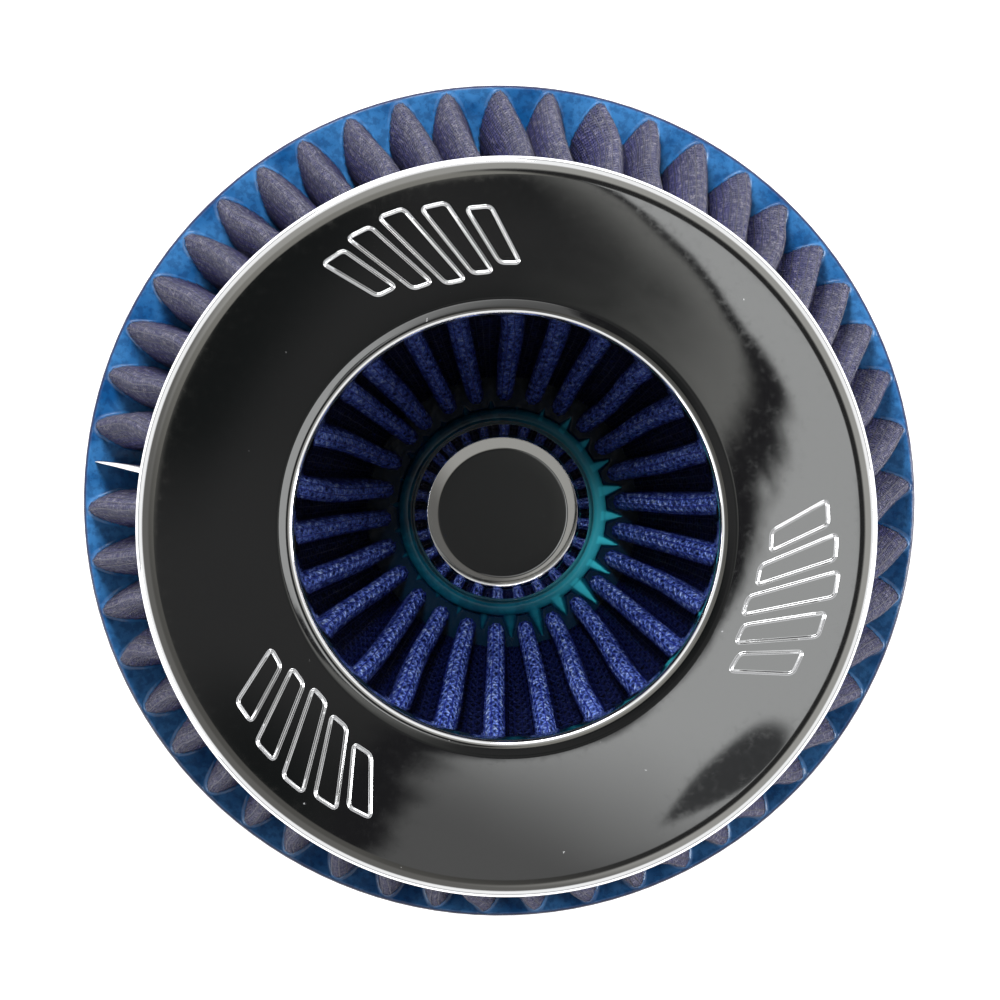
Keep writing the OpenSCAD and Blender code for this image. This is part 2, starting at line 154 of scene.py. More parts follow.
def mix_colour(tree, share, a, b):
    node = tree.nodes.new("ShaderNodeMix")
    node.data_type = "RGBA"
    for socket, value in ((node.inputs[0], share), (node.inputs[6], a), (node.inputs[7], b)):
        if isinstance(value, (int, float)):
            socket.default_value = value
        elif isinstance(value, tuple):
            socket.default_value = (*value, 1) if len(value) == 3 else value
        else:
            tree.links.new(value, socket)
    return node.outputs[2]


def ramp(tree, value, low, high):
    """Smooth step from 0 at low to 1 at high."""
    node = tree.nodes.new("ShaderNodeMapRange")
    node.interpolation_type = "SMOOTHSTEP"
    node.inputs["From Min"].default_value = low
    node.inputs["From Max"].default_value = high
    tree.links.new(value, node.inputs["Value"])
    return node.outputs["Result"]


def seen_by_view_or_metal(tree):
    """1 for rays from the camera, from metal and through glass, 0 for those that carry light."""
    path = tree.nodes.new("ShaderNodeLightPath")
    seen = math_node(tree, "MAXIMUM", path.outputs["Is Camera Ray"], path.outputs["Is Glossy Ray"])
    return math_node(tree, "MAXIMUM", seen, path.outputs["Is Transmission Ray"])


floor_material = new_material("floor")
tree = floor_material.node_tree
plain = add(tree, "ShaderNodeBsdfDiffuse", in_Color=(0.80, 0.80, 0.80, 1))
white = add(tree, "ShaderNodeEmission", in_Color=(1, 1, 1, 1))
strength = math_node(tree, "MULTIPLY", seen_by_view_or_metal(tree), 0.85)
tree.links.new(strength, white.inputs["Strength"])
both = add(tree, "ShaderNodeAddShader")
tree.links.new(plain.outputs[0], both.inputs[0])
tree.links.new(white.outputs[0], both.inputs[1])
out = add(tree, "ShaderNodeOutputMaterial")
tree.links.new(both.outputs[0], out.inputs["Surface"])

bpy.ops.object.select_all(action="DESELECT")
bpy.ops.mesh.primitive_plane_add(size=12, location=(0, 0, 0))
floor = bpy.context.object
floor.name = "floor"
floor.data.materials.append(floor_material)

world = bpy.data.worlds.new("studio")
world.use_nodes = True
tree = world.node_tree
tree.nodes.clear()
where = add(tree, "ShaderNodeTexCoord")
# The pattern is centred on what a level mirror on the axis shows. away is the distance from there
mirrored_axis = (0.0117, -0.0407, 0)
centred = add(tree, "ShaderNodeVectorMath", operation="SUBTRACT")
tree.links.new(where.outputs["Generated"], centred.inputs[0])
centred.inputs[1].default_value = mirrored_axis
flat = add(tree, "ShaderNodeVectorMath", operation="MULTIPLY")
tree.links.new(centred.outputs[0], flat.inputs[0])
flat.inputs[1].default_value = (1, 1, 0)
away = add(tree, "ShaderNodeVectorMath", operation="LENGTH")
tree.links.new(flat.outputs[0], away.inputs[0])
away = away.outputs["Value"]
axes = add(tree, "ShaderNodeSeparateXYZ")
tree.links.new(flat.outputs[0], axes.inputs[0])
folds = add(tree, "ShaderNodeTexNoise", in_Scale=16.0, in_Detail=6.0, in_Roughness=0.72)
tree.links.new(where.outputs["Generated"], folds.inputs["Vector"])
wander = math_node(tree, "MULTIPLY_ADD", folds.outputs["Fac"], 0.05, -0.025)
x, y = axes.outputs["X"], axes.outputs["Y"]


def sloped(x_share, y_share):
    """A value that grows across the sky, by x_share to the picture's right and by y_share to its top."""
    in_x = math_node(tree, "MULTIPLY", x, x_share)
    return math_node(tree, "ADD", in_x, math_node(tree, "MULTIPLY", y, y_share))


# side grows to the right and down across the picture, and along grows to the right and up
level_side = sloped(0.82, -0.57)
side = math_node(tree, "ADD", level_side, wander)
along = sloped(0.57, 0.82)
# The sheet's edge bends away from the zenith at both ends
low_end = math_node(tree, "MULTIPLY", ramp(tree, along, -0.02, -0.10), 0.05)
high_end = math_node(tree, "MAXIMUM", math_node(tree, "SUBTRACT", along, 0.13), 0.0)
high_end = math_node(tree, "MULTIPLY", math_node(tree, "POWER", high_end, 2.0), 39.0)
edge = math_node(tree, "ADD", math_node(tree, "ADD", side, low_end), high_end)
near_sheet = math_node(tree, "MULTIPLY", ramp(tree, edge, -0.06, 0.060), ramp(tree, along, -0.02, 0.10))
haze = add(tree, "ShaderNodeTexNoise", in_Scale=6.0, in_Detail=0.5)
tree.links.new(where.outputs["Generated"], haze.inputs["Vector"])
ceiling, hazy_ceiling, ceiling_by_sheet = (0.008, 0.009, 0.009), (0.026, 0.026, 0.026), (0.130, 0.130, 0.124)
seam_dark, fold_dark = (0.012, 0.012, 0.013), (0.036, 0.037, 0.038)
low_sheet, high_sheet = (0.085, 0.085, 0.084), (0.330, 0.334, 0.330)
dark = mix_colour(tree, ramp(tree, haze.outputs["Fac"], 0.38, 0.70), ceiling, hazy_ceiling)
dark = mix_colour(tree, near_sheet, dark, ceiling_by_sheet)
seam = math_node(tree, "MULTIPLY", ramp(tree, edge, 0.052, 0.072), ramp(tree, edge, 0.100, 0.084))
dark = mix_colour(tree, seam, dark, seam_dark)
sheet_grey = mix_colour(tree, ramp(tree, along, -0.15, -0.02), low_sheet, high_sheet)
# A darker fold lies over the sheet towards the bottom right
fold_b = math_node(tree, "DIVIDE", math_node(tree, "ADD", along, 0.045), 0.044)
fold_a = math_node(tree, "SUBTRACT", level_side, math_node(tree, "MULTIPLY_ADD", fold_b, 0.015, 0.180))
fold_half = math_node(tree, "MAXIMUM", math_node(tree, "MULTIPLY_ADD", fold_b, 0.013, 0.019), 0.005)
fold_a = math_node(tree, "DIVIDE", fold_a, fold_half)
fold = math_node(tree, "ADD", math_node(tree, "POWER", fold_a, 2.0), math_node(tree, "POWER", fold_b, 2.0))
sheet_grey = mix_colour(tree, ramp(tree, fold, 1.15, 0.55), sheet_grey, fold_dark)
top = mix_colour(tree, ramp(tree, edge, 0.082, 0.100), dark, sheet_grey)
# Round the top the tent starts with a beige band on the left, and a dark one and a grey one on the right
beige_band, dark_band, low_left_band = (0.210, 0.205, 0.185), (0.020, 0.020, 0.020), (0.080, 0.078, 0.072)
grey_band, low_left_grey = (0.34, 0.335, 0.315), (0.130, 0.127, 0.120)
low_left = ramp(tree, sloped(-0.8, -0.6), 0.02, 0.24)
near_band = mix_colour(tree, ramp(tree, edge, -0.02, 0.12), beige_band, dark_band)
near_band = mix_colour(tree, low_left, near_band, low_left_band)
far_band = mix_colour(tree, low_left, grey_band, low_left_grey)
top = mix_colour(tree, ramp(tree, away, 0.205, 0.220), top, near_band)
top = mix_colour(tree, ramp(tree, away, 0.262, 0.300), top, far_band)
sky = mix_colour(tree, ramp(tree, away, 0.52, 0.62), top, (1.0, 1.0, 1.0))
# Mirrors see the tent grow greyer towards the horizon, and a view straight at it stays white
up = add(tree, "ShaderNodeSeparateXYZ")
tree.links.new(where.outputs["Generated"], up.inputs[0])
view = add(tree, "ShaderNodeLightPath")
horizon_grey = (0.34, 0.34, 0.35)
not_straight = math_node(tree, "SUBTRACT", 1.0, view.outputs["Is Camera Ray"])
low_down = math_node(tree, "MULTIPLY", ramp(tree, up.outputs["Z"], 0.42, 0.02), not_straight)
sky = mix_colour(tree, low_down, sky, horizon_grey)
# Surfaces that only scatter light get it mostly from the top of the picture
lamp_light = mix_colour(tree, ramp(tree, y, -0.75, 0.45), (0.16, 0.16, 0.18), (0.55, 0.55, 0.56))
sky = mix_colour(tree, seen_by_view_or_metal(tree), lamp_light, sky)
light = add(tree, "ShaderNodeBackground")
tree.links.new(sky, light.inputs["Color"])
light.inputs["Strength"].default_value = 1.0
out = add(tree, "ShaderNodeOutputWorld")
tree.links.new(light.outputs[0], out.inputs["Surface"])
scene.world = world


def soft_lamp(name, place, aim_at, size, power, in_mirrors=True):
    data = bpy.data.lights.new(name, "AREA")
    data.shape = "RECTANGLE"
    data.size, data.size_y = size
    data.energy = power
    lamp = bpy.data.objects.new(name, data)
    lamp.location = place
    lamp.rotation_euler = (Vector(place) - Vector(aim_at)).to_track_quat("Z", "Y").to_euler()
    lamp.visible_camera = False
    lamp.visible_glossy = in_mirrors
    scene.collection.objects.link(lamp)


soft_lamp("key_lamp", (-0.15, 0.72, 1.50), (0, 0, 0.10), (0.25, 0.25), 22, in_mirrors=False)
soft_lamp("top_lamp", (-0.35, 1.35, 0.80), (0, 0, 0.10), (0.9, 0.6), 9)
soft_lamp("side_lamp", (1.45, -0.15, 0.45), (0, 0, 0.08), (0.6, 0.7), 13)
soft_lamp("fill_lamp", (-1.30, -0.60, 0.50), (0, 0, 0.06), (0.8, 0.6), 4)

# %% [markdown]
# ## Finishes
#
# Effects that several finishes share are node groups. Fine mottling is noise that shifts colour
# and roughness a little everywhere, as on any used surface. The weave turns the strip's own map,
# which is laid out in true lengths, into two sets of slanting threads.

# %% Node groups


def new_group(name, inputs, outputs):
    group = bpy.data.node_groups.new(name, "ShaderNodeTree")
    for label, kind, value in inputs:
        socket = group.interface.new_socket(label, in_out="INPUT", socket_type=kind)
        if value is not None:
            socket.default_value = value
    for label, kind in outputs:
        group.interface.new_socket(label, in_out="OUTPUT", socket_type=kind)
    return group, group.nodes.new("NodeGroupInput"), group.nodes.new("NodeGroupOutput")


def use_group(tree, group, **inputs):
    node = tree.nodes.new("ShaderNodeGroup")
    node.node_tree = group
    for key, value in inputs.items():
        socket = node.inputs[key]
        if isinstance(value, (int, float)):
            socket.default_value = value
        else:
            tree.links.new(value, socket)
    return node


mottle, g_in, g_out = new_group(
    "mottle",
    [("Vector", "NodeSocketVector", None), ("Scale", "NodeSocketFloat", 200.0)],
    [("Broad", "NodeSocketFloat"), ("Fine", "NodeSocketFloat")],
)
broad = add(mottle, "ShaderNodeTexNoise", in_Detail=3.0, in_Roughness=0.55)
fine = add(mottle, "ShaderNodeTexNoise", in_Detail=4.0, in_Roughness=0.65)
mottle.links.new(g_in.outputs["Vector"], broad.inputs["Vector"])
mottle.links.new(g_in.outputs["Vector"], fine.inputs["Vector"])
mottle.links.new(g_in.outputs["Scale"], broad.inputs["Scale"])
mottle.links.new(math_node(mottle, "MULTIPLY", g_in.outputs["Scale"], 6.0), fine.inputs["Scale"])
mottle.links.new(broad.outputs["Fac"], g_out.inputs["Broad"])
mottle.links.new(fine.outputs["Fac"], g_out.inputs["Fine"])

weave, g_in, g_out = new_group(
    "slanting_weave",
    [("U mm", "NodeSocketFloat", 0.0), ("V mm", "NodeSocketFloat", 0.0), ("Pitch mm", "NodeSocketFloat", 0.6),
     ("Rise", "NodeSocketFloat", 1.0), ("Wander", "NodeSocketFloat", 0.0)],
    [("Height", "NodeSocketFloat"), ("Gap", "NodeSocketFloat")],
)


def thread(u, v, sign):
    lean = math_node(weave, "MULTIPLY", math_node(weave, "MULTIPLY", v, sign), g_in.outputs["Rise"])
    along = math_node(weave, "ADD", u, lean)
    phase = math_node(weave, "DIVIDE", along, g_in.outputs["Pitch mm"])
    phase = math_node(weave, "ADD", phase, g_in.outputs["Wander"])
    wave = math_node(weave, "SINE", math_node(weave, "MULTIPLY", phase, math.tau))
    return math_node(weave, "MULTIPLY_ADD", wave, 0.5, 0.5)


warp = thread(g_in.outputs["U mm"], g_in.outputs["V mm"], 1.0)
weft = thread(g_in.outputs["U mm"], g_in.outputs["V mm"], -1.0)
thread_top = math_node(weave, "MAXIMUM", warp, weft)
weave.links.new(thread_top, g_out.inputs["Height"])
weave.links.new(math_node(weave, "SUBTRACT", 1.0, thread_top, clamp=True), g_out.inputs["Gap"])
print("groups:", [g.name for g in bpy.data.node_groups])

# %% [markdown]
# Gauze is cotton dyed blue and wetted with oil. Where air has gone through it, mostly on the crests, dust
# has turned it grey. The strip carries a colour attribute: how near each point is to a crest. The finish
# darkens the blue towards the roots of the folds, which is painted shade, and lightens it towards the crests,
# which is painted light with the dust's grey on the outer pack. It lets the threads stand out of it, with
# painted shade in the gaps and painted highlights on some thread tops, and breaks it all up with noise, so
# that no two pleats look the same.

# %% Gauze finish


def shader(tree, **values):
    body = tree.nodes.new("ShaderNodeBsdfPrincipled")
    for key, value in values.items():
        body.inputs[key.replace("_", " ")].default_value = value
    out = tree.nodes.new("ShaderNodeOutputMaterial")
    tree.links.new(body.outputs[0], out.inputs["Surface"])
    return body


def bump(tree, body, height, strength, distance):
    node = add(tree, "ShaderNodeBump", in_Strength=strength, in_Distance=distance)
    tree.links.new(height, node.inputs["Height"])
    tree.links.new(node.outputs["Normal"], body.inputs["Normal"])


def map_in_mm(tree):
    """The strip's own map, and how far along the strip and how high each point lies on it, in mm."""
    uv = add(tree, "ShaderNodeUVMap", uv_map="strip")
    axes = tree.nodes.new("ShaderNodeSeparateXYZ")
    tree.links.new(uv.outputs[0], axes.inputs[0])
    u = math_node(tree, "MULTIPLY", axes.outputs["X"], 1000.0)
    v = math_node(tree, "MULTIPLY", axes.outputs["Y"], 1000.0)
    return uv.outputs[0], u, v


def gauze_finish(name, deep, middle, crest_dust_and_light, light, shares, pitch, rise, wander, grain, relief, soft):
    """The colours run from deep at the root to the crest's colour, and shares says how near the crest each
    begins.
    The dark root is painted shade in the folds, and the crest's colour is painted light, with dust in it on
    the outer pack.
    light is a painted highlight on the tops of threads near the crests."""
    material = new_material(name)
    tree = material.node_tree
    body = shader(tree, Roughness=0.85, Sheen_Weight=soft, Sheen_Roughness=0.6, Specular_IOR_Level=0.2)
    _, u, v = map_in_mm(tree)
    place = add(tree, "ShaderNodeTexCoord")
    squeeze = add(tree, "ShaderNodeMapping", in_Scale=(1, 1, 0.13))
    tree.links.new(place.outputs["Object"], squeeze.inputs["Vector"])
    noise = use_group(tree, mottle, Vector=squeeze.outputs[0], Scale=grain)
    drift = math_node(tree, "MULTIPLY", math_node(tree, "SUBTRACT", noise.outputs["Broad"], 0.5), wander)
    threads = use_group(tree, weave)
    tree.links.new(u, threads.inputs["U mm"])
    tree.links.new(v, threads.inputs["V mm"])
    threads.inputs["Pitch mm"].default_value = pitch
    threads.inputs["Rise"].default_value = rise
    tree.links.new(drift, threads.inputs["Wander"])
    crest = add(tree, "ShaderNodeAttribute", attribute_name="crest")
    # Painted shade towards the roots, and painted light with dust on the crests, thinner where the broad
    # noise is low
    dust_light_shade_mask = math_node(tree, "MULTIPLY_ADD", noise.outputs["Broad"], 0.5, crest.outputs["Fac"])
    colour = mix_colour(tree, ramp(tree, dust_light_shade_mask, shares[0], shares[0] + 0.45), deep, middle)
    colour = mix_colour(tree, ramp(tree, dust_light_shade_mask, shares[1], shares[1] + 0.40), colour, crest_dust_and_light)
    # Painted shade darkens the gaps between the threads, and painted highlights light the tops of some
    # threads near the crests
    dark = math_node(tree, "MULTIPLY", threads.outputs["Gap"], ramp(tree, noise.outputs["Fine"], 0.58, 0.40))
    colour = mix_colour(tree, dark, colour, tuple(c * 0.2 for c in deep))
    pits = math_node(tree, "MULTIPLY", ramp(tree, noise.outputs["Fine"], 0.48, 0.34), 0.85)
    colour = mix_colour(tree, pits, colour, deep)
    speck = ramp(tree, noise.outputs["Fine"], 0.50, 0.66)
    thread_highlight = math_node(tree, "MULTIPLY", speck, threads.outputs["Height"])
    thread_highlight = math_node(tree, "MULTIPLY", thread_highlight, ramp(tree, crest.outputs["Fac"], 0.15, 0.85))
    colour = mix_colour(tree, thread_highlight, colour, light)
    tree.links.new(colour, body.inputs["Base Color"])
    height = math_node(tree, "MULTIPLY_ADD", noise.outputs["Fine"], 1.2, threads.outputs["Height"])
    bump(tree, body, height, 1.0, relief)
    return material


outer_gauze_finish = gauze_finish(
    "gauze_grey", deep=(0.020, 0.024, 0.180), middle=(0.060, 0.060, 0.320), crest_dust_and_light=(0.125, 0.126, 0.250),
    light=(0.40, 0.38, 0.47), shares=(0.50, 0.80), pitch=1.1, rise=0.35, wander=3.0, grain=210.0,
    relief=0.0012, soft=0.08,
)
inner_gauze_finish = gauze_finish(
    "gauze_blue", deep=(0.008, 0.013, 0.065), middle=(0.064, 0.104, 0.400), crest_dust_and_light=(0.170, 0.280, 0.88),
    light=(0.50, 0.66, 1.00), shares=(0.25, 0.85), pitch=1.5, rise=0.50, wander=0.25, grain=200.0,
    relief=0.0014, soft=0.0,
)

# %% [markdown]
# Each pack is one long strip of gauze that is folded to and fro and then closed into a cone. It can be
# made with a pleat profile that is extruded and scaled, or by folding a flat grid, as the real strip
# is folded. The grid is used: it keeps a map in true lengths, so the weave runs round every fold.
# First the fold line at any height is worked out. Small seeded differences in turn, depth and bow keep
# the pleats from looking stamped.

# %% Fold line of a pack
half_steps = 11


def blend(a, b, t):
    return a + (b - a) * t


def spot(angle, r, x):
    """The point at radius r and x across, seen from the axis at that angle."""
    return r * math.cos(angle) - x * math.sin(angle), r * math.sin(angle) + x * math.cos(angle)


def section(s, depth, roll):
    """(share of the half width, drop below the crest) at s from crest 0 to root 1. roll rounds the crest."""
    if not roll:
        return s, depth * s * s
    rolled_to = 0.62
    if s < rolled_to:
        turn = s / rolled_to * math.pi / 2
        return math.sin(turn), roll * (1 - math.cos(turn))
    return 1, blend(roll, depth, (s - rolled_to) / (1 - rolled_to))


def make_pack(side, pleats, low, high, slit, seed, wobble, fin=None, rolled=False):
    """pleats lists (angle at the foot, angle at the top, half the room on each side), in degrees.
    side is 1 where crests point outwards and -1 where they point to the axis. low and high hold a level, the
    radii of crests and valleys, and half a fold's width. fin is the flat pleat in the seam clip."""
    rng = random.Random(seed)
    looks = [
        dict(turn=rng.gauss(0, wobble), bow=rng.gauss(0, wobble), phase=rng.uniform(0, math.tau),
             depth=rng.gauss(0, 0.30 * mm), fat=rng.gauss(0, 0.04), lean=rng.gauss(0, 0.25 * mm))
        for _ in pleats
    ]
    return dict(side=side, pleats=pleats, low=low, high=high, slit=slit, looks=looks, fin=fin, round=rolled)


def fold_line(pack, z, sink):
    """The pack's front face at height z, or what lies sink behind it: a list of (point, crest share)."""
    t = (z - pack["low"]["z"]) / (pack["high"]["z"] - pack["low"]["z"])
    loose = math.sin(math.pi * min(1, max(0, t)))
    side = pack["side"]
    sizes = ("crest", "valley", "wide")
    crest_r, valley_r, wide_0 = (blend(pack["low"][k], pack["high"][k], t) for k in sizes)
    line = []
    for (foot_deg, top_deg, left_deg, right_deg), look in zip(pack["pleats"], pack["looks"]):
        angle = math.radians(blend(foot_deg, top_deg, t))
        angle += (look["turn"] + look["bow"] * math.sin(math.tau * t + look["phase"])) * loose
        depth = abs(crest_r - valley_r) + look["depth"] * loose
        wide = wide_0 * (1 + look["fat"] * loose) - sink
        for i in range(-half_steps, half_steps + 1):
            s = i / half_steps
            share, drop = section(abs(s), depth, wide_0 if pack["round"] else 0)
            h = depth - drop - sink
            r = valley_r + side * h
            room_deg = left_deg if s < 0 else right_deg
            room = r * math.tan(math.radians(room_deg)) * (1 - pack["slit"]) - sink
            x = math.copysign(min(wide * share, room), s) if i else 0
            x += look["lean"] * loose * (1 - s * s)
            line.append((Vector((*spot(angle, r, x), z)), max(0, h) / depth))
    if pack["fin"]:
        fin = pack["fin"]
        angle = math.radians(blend(fin["foot_deg"], fin["top_deg"], t))
        pressed = sink * fin["squeeze"]
        tip_r, root_r = crest_r - side * (fin["drop"] + pressed), valley_r + side * (fin["root"] - sink)
        ends = [(tip_r, fin["half"] - pressed, 0.6), (root_r, fin["half"] - pressed, 0.1)]
        line = [(Vector((*spot(angle, r, x), z)), s) for r, x, s in ends] + line
        line += [(Vector((*spot(angle, r, -x), z)), s) for r, x, s in ends[::-1]]
    line.append(line[0])
    return line


# %% Where the crests stand
# Angles are in degrees about the axis, from the picture's right
outer_count = 49
outer_first, outer_last = 180.7, 169.1 + 360
outer_pitch = (outer_last - outer_first) / (outer_count - 1)
seam_half_room = 3.15
twist = 3.6
inner_count = 26
lap_deg = 136
lap_room = 10
inner_pitch = (360 - lap_room) / (inner_count - 1)

# How far each outer pleat stands off an even spacing, read from the picture from the seam round
outer_drift = (
    0.3, 0.5, 0.3, 0.5, 0.8, 0.5, 0.8, 0.5, 0.2, 0.5, 0.7, 0.5, 0.1, 0.0, 0.2, 0.3, 0.2, -0.6, -1.2, -1.0,
    -1.3, -1.4, -1.3, -1.2, -0.8, 0.0, 0.8, 1.2, 1.1, 0.6, -0.2, 0.2, 0.0, 0.3, 0.7, 1.0, 1.0, 0.9, 0.9, 0.5,
    0.5, 0.6, 0.3, 0.2, -0.2, -0.1, 0.2, 0.0, 0.2,
)


def row_of_pleats(first_deg, count, pitch, turn_back, end_half, drift=None):
    rows = []
    for i in range(count):
        foot = first_deg + i * pitch + (drift[i] if drift else 0)
        left = end_half if i == 0 else pitch / 2
        right = end_half if i == count - 1 else pitch / 2
        rows.append((foot, foot - turn_back, left, right))
    return rows


# The seam clip stands out of the gap between the first and the last pleat
clip_foot_deg, clip_top_deg = 174.35, 171.6
outer_pack = make_pack(
    side=1,
    pleats=row_of_pleats(outer_first, outer_count, outer_pitch, twist, seam_half_room, outer_drift),
    low=dict(z=flange_top - 2 * mm, crest=flange_r - 0.35 * mm, valley=flange_r - 13.9 * mm, wide=5.1 * mm),
    high=dict(z=cap_foot + 4 * mm, crest=radius("top_cap") - 1.5 * mm, valley=radius("top_cap") - 11.8 * mm,
              wide=4.0 * mm),
    slit=0.04, seed=7, wobble=0.006,
    fin=dict(foot_deg=clip_foot_deg, top_deg=clip_top_deg, drop=1.4 * mm, root=2 * mm, half=0.22 * mm,
             squeeze=0.15),
)
inner_pack = make_pack(
    side=-1,
    pleats=row_of_pleats(lap_deg + lap_room / 2, inner_count, inner_pitch, 0, lap_room / 2),
    low=dict(z=nose_top - 3.0 * mm, crest=18.2 * mm, valley=22.2 * mm, wide=1.65 * mm),
    high=dict(z=cap_foot + 3.5 * mm, crest=37.1 * mm, valley=43.5 * mm, wide=2.20 * mm),
    slit=0.10, seed=11, wobble=0.010, rolled=True,
)
print(outer_count, "outer and", inner_count, "inner pleats")

# %% [markdown]
# Each sheet of a stack is folded from its own grid: the grid's columns follow the fold line, first along
# the sheet's front and then back along its rear, and its rows climb from the foot to the top. The two open
# ends, which are cast into the resin, are closed with a row of quads each.

# %% Fold a flat grid onto a stack of fold lines


def fold_sheet(name, pack, low_z, high_z, rows, front, rear=None):
    """Folds a grid into the sheet that lies between front and rear behind the pack's face."""
    heights = [blend(low_z, high_z, i / rows) for i in range(rows + 1)]
    faces = [[fold_line(pack, z, sink) for z in heights] for sink in (front, rear) if sink is not None]
    count = len(faces[0][0])
    lines = [row + (faces[1][k][::-1] if rear is not None else []) for k, row in enumerate(faces[0])]
    across = len(lines[0])
    bpy.ops.object.select_all(action="DESELECT")
    bpy.ops.mesh.primitive_grid_add(x_subdivisions=across - 1, y_subdivisions=rows, size=1, calc_uvs=True)
    sheet = bpy.context.object
    sheet.name = name
    mesh = sheet.data
    crest = mesh.attributes.new("crest", "FLOAT", "POINT")
    for vertex in mesh.vertices:
        row, col = divmod(vertex.index, across)
        vertex.co, crest.data[vertex.index].value = lines[row][col]
    # The map is measured along the fold line at half height and up the sheet
    along = [0.0]
    half_way = faces[0][rows // 2]
    for a, b in zip(half_way, half_way[1:]):
        along.append(along[-1] + (b[0] - a[0]).length)
    up = [0.0]
    for a, b in zip(faces[0], faces[0][1:]):
        up.append(up[-1] + (b[count // 2][0] - a[count // 2][0]).length)
    along_all = along + along[::-1] if rear is not None else along
    mesh.uv_layers[0].name = "strip"
    layer = mesh.uv_layers["strip"]
    for loop in mesh.loops:
        row, col = divmod(loop.vertex_index, across)
        layer.data[loop.index].uv = (along_all[col], up[row])
    if rear is not None:
        close_ends(mesh, across, count, rows)
    if pack["side"] < 0:
        mesh.flip_normals()
    bpy.ops.object.mode_set(mode="EDIT")
    bpy.ops.mesh.select_all(action="SELECT")
    bpy.ops.mesh.remove_doubles(threshold=1e-7)
    bpy.ops.object.mode_set(mode="OBJECT")
    bpy.ops.object.shade_smooth()
    return sheet, along[-1], up[-1]


def close_ends(mesh, across, count, rows):
    """Removes the two narrow strips that join front and rear at the seam, and closes foot and top."""
    bm = bmesh.new()
    bm.from_mesh(mesh)
    bm.verts.ensure_lookup_table()
    join = [f for f in bm.faces if {v.index % across for v in f.verts} == {count - 1, count}]
    bmesh.ops.delete(bm, geom=join, context="FACES_ONLY")
    bm.verts.ensure_lookup_table()
    for row, turn in ((0, False), (rows, True)):
        for col in range(count - 1):
            rear = across - 1 - col
            ring = [row * across + k for k in (col, rear, rear - 1, col + 1)]
            bm.faces.new([bm.verts[k] for k in (ring[::-1] if turn else ring)])
    bm.to_mesh(mesh)
    bm.free()


fold_room = 0.05 * mm
outer_wire, outer_cloth = 0.3 * mm, 1.2 * mm
inner_wire, inner_cloth = 0.2 * mm, 0.6 * mm


def fold_stack(label, pack, low_z, high_z, wire, cloth, rows):
    """Folds the front screen, the gauze and the rear screen of a pack, each behind the one before."""
    made = {}
    front = wire + fold_room
    rear = front + cloth
    back = rear + fold_room + wire / 2
    made["front_screen"] = fold_sheet(f"{label}_front_net", pack, low_z, high_z, rows, wire / 2)
    made["gauze"] = fold_sheet(f"{label}_folded_gauze", pack, low_z, high_z, rows, front, rear)
    made["back_screen"] = fold_sheet(f"{label}_back_net", pack, low_z, high_z, rows // 2, back)
    for part, (piece, length, height) in made.items():
        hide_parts(f"{label}_{part}")
        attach(piece, "filter")
        print(f"{piece.name}: {len(piece.data.polygons)} faces, {length:.3f} m by {height:.3f} m")
    return made


cast_in = 0.5 * mm
outer = fold_stack(
    "outer", outer_pack, outer_pack["low"]["z"] + cast_in, outer_pack["high"]["z"] - cast_in,
    outer_wire, outer_cloth, 26,
)
inner = fold_stack(
    "inner", inner_pack, inner_pack["low"]["z"] + cast_in, inner_pack["high"]["z"] - cast_in,
    inner_wire, inner_cloth, 22,
)

# %% Dress the gauze and the screens


def net_finish(name, colour, pitch, wire, shine, roughness):
    """Thin crossed wires on the strip's map, and nothing between them. pitch and wire are in mm."""
    material = new_material(name)
    tree = material.node_tree
    body = shader(tree, Roughness=roughness, Specular_IOR_Level=shine)
    uv, u, v = map_in_mm(tree)
    noise = use_group(tree, mottle, Vector=uv, Scale=300.0)
    bend = math_node(tree, "MULTIPLY", math_node(tree, "SUBTRACT", noise.outputs["Broad"], 0.5), 0.35)
    covers = None
    for axis in (u, v):
        cell = math_node(tree, "ADD", math_node(tree, "DIVIDE", axis, pitch), bend)
        off = math_node(tree, "ABSOLUTE", math_node(tree, "SUBTRACT", math_node(tree, "FRACT", cell), 0.5))
        line = math_node(tree, "LESS_THAN", off, wire / pitch / 2)
        covers = line if covers is None else math_node(tree, "MAXIMUM", covers, line)
    shade = mix_colour(tree, noise.outputs["Fine"], tuple(c * 0.6 for c in colour), colour)
    # The wires darken towards the roots of the folds: painted shade.
    crest = add(tree, "ShaderNodeAttribute", attribute_name="crest")
    painted_fold_shade = tuple(c * 0.15 for c in colour)
    shade = mix_colour(tree, ramp(tree, crest.outputs["Fac"], 0.1, 0.8), painted_fold_shade, shade)
    tree.links.new(shade, body.inputs["Base Color"])
    tree.links.new(covers, body.inputs["Alpha"])
    return material


outer_net = net_finish("screen_wire", (0.080, 0.078, 0.120), 1.4, 0.16, 0.05, 0.55)
inner_net = net_finish("screen_wire_blue", (0.010, 0.022, 0.28), 1.2, 0.16, 0.5, 0.5)
for made, cloth_finish, cloth_slot, net, net_slot in (
    (outer, outer_gauze_finish, "gauze_grey", outer_net, "screen_wire"),
    (inner, inner_gauze_finish, "gauze_blue", inner_net, "screen_wire_blue"),
):
    for part, (piece, length, height) in made.items():
        material, slot = (cloth_finish, cloth_slot) if part == "gauze" else (net, net_slot)
        piece.data.materials.clear()
        piece.data.materials.append(material)

# %% [markdown]
# ## Plated parts
#
# A mirror shows every facet, so the cap and the button get finer shapes here than the frame needs.
# Each is a profile that is spun by the tool of that name. The cap's face is a little crowned: it
# falls outwards by two to five degrees, and turns over its rim in two steps, first gently and then
# tightly. That is what puts a grey and then a white line round the real one.

# %% Spun shapes


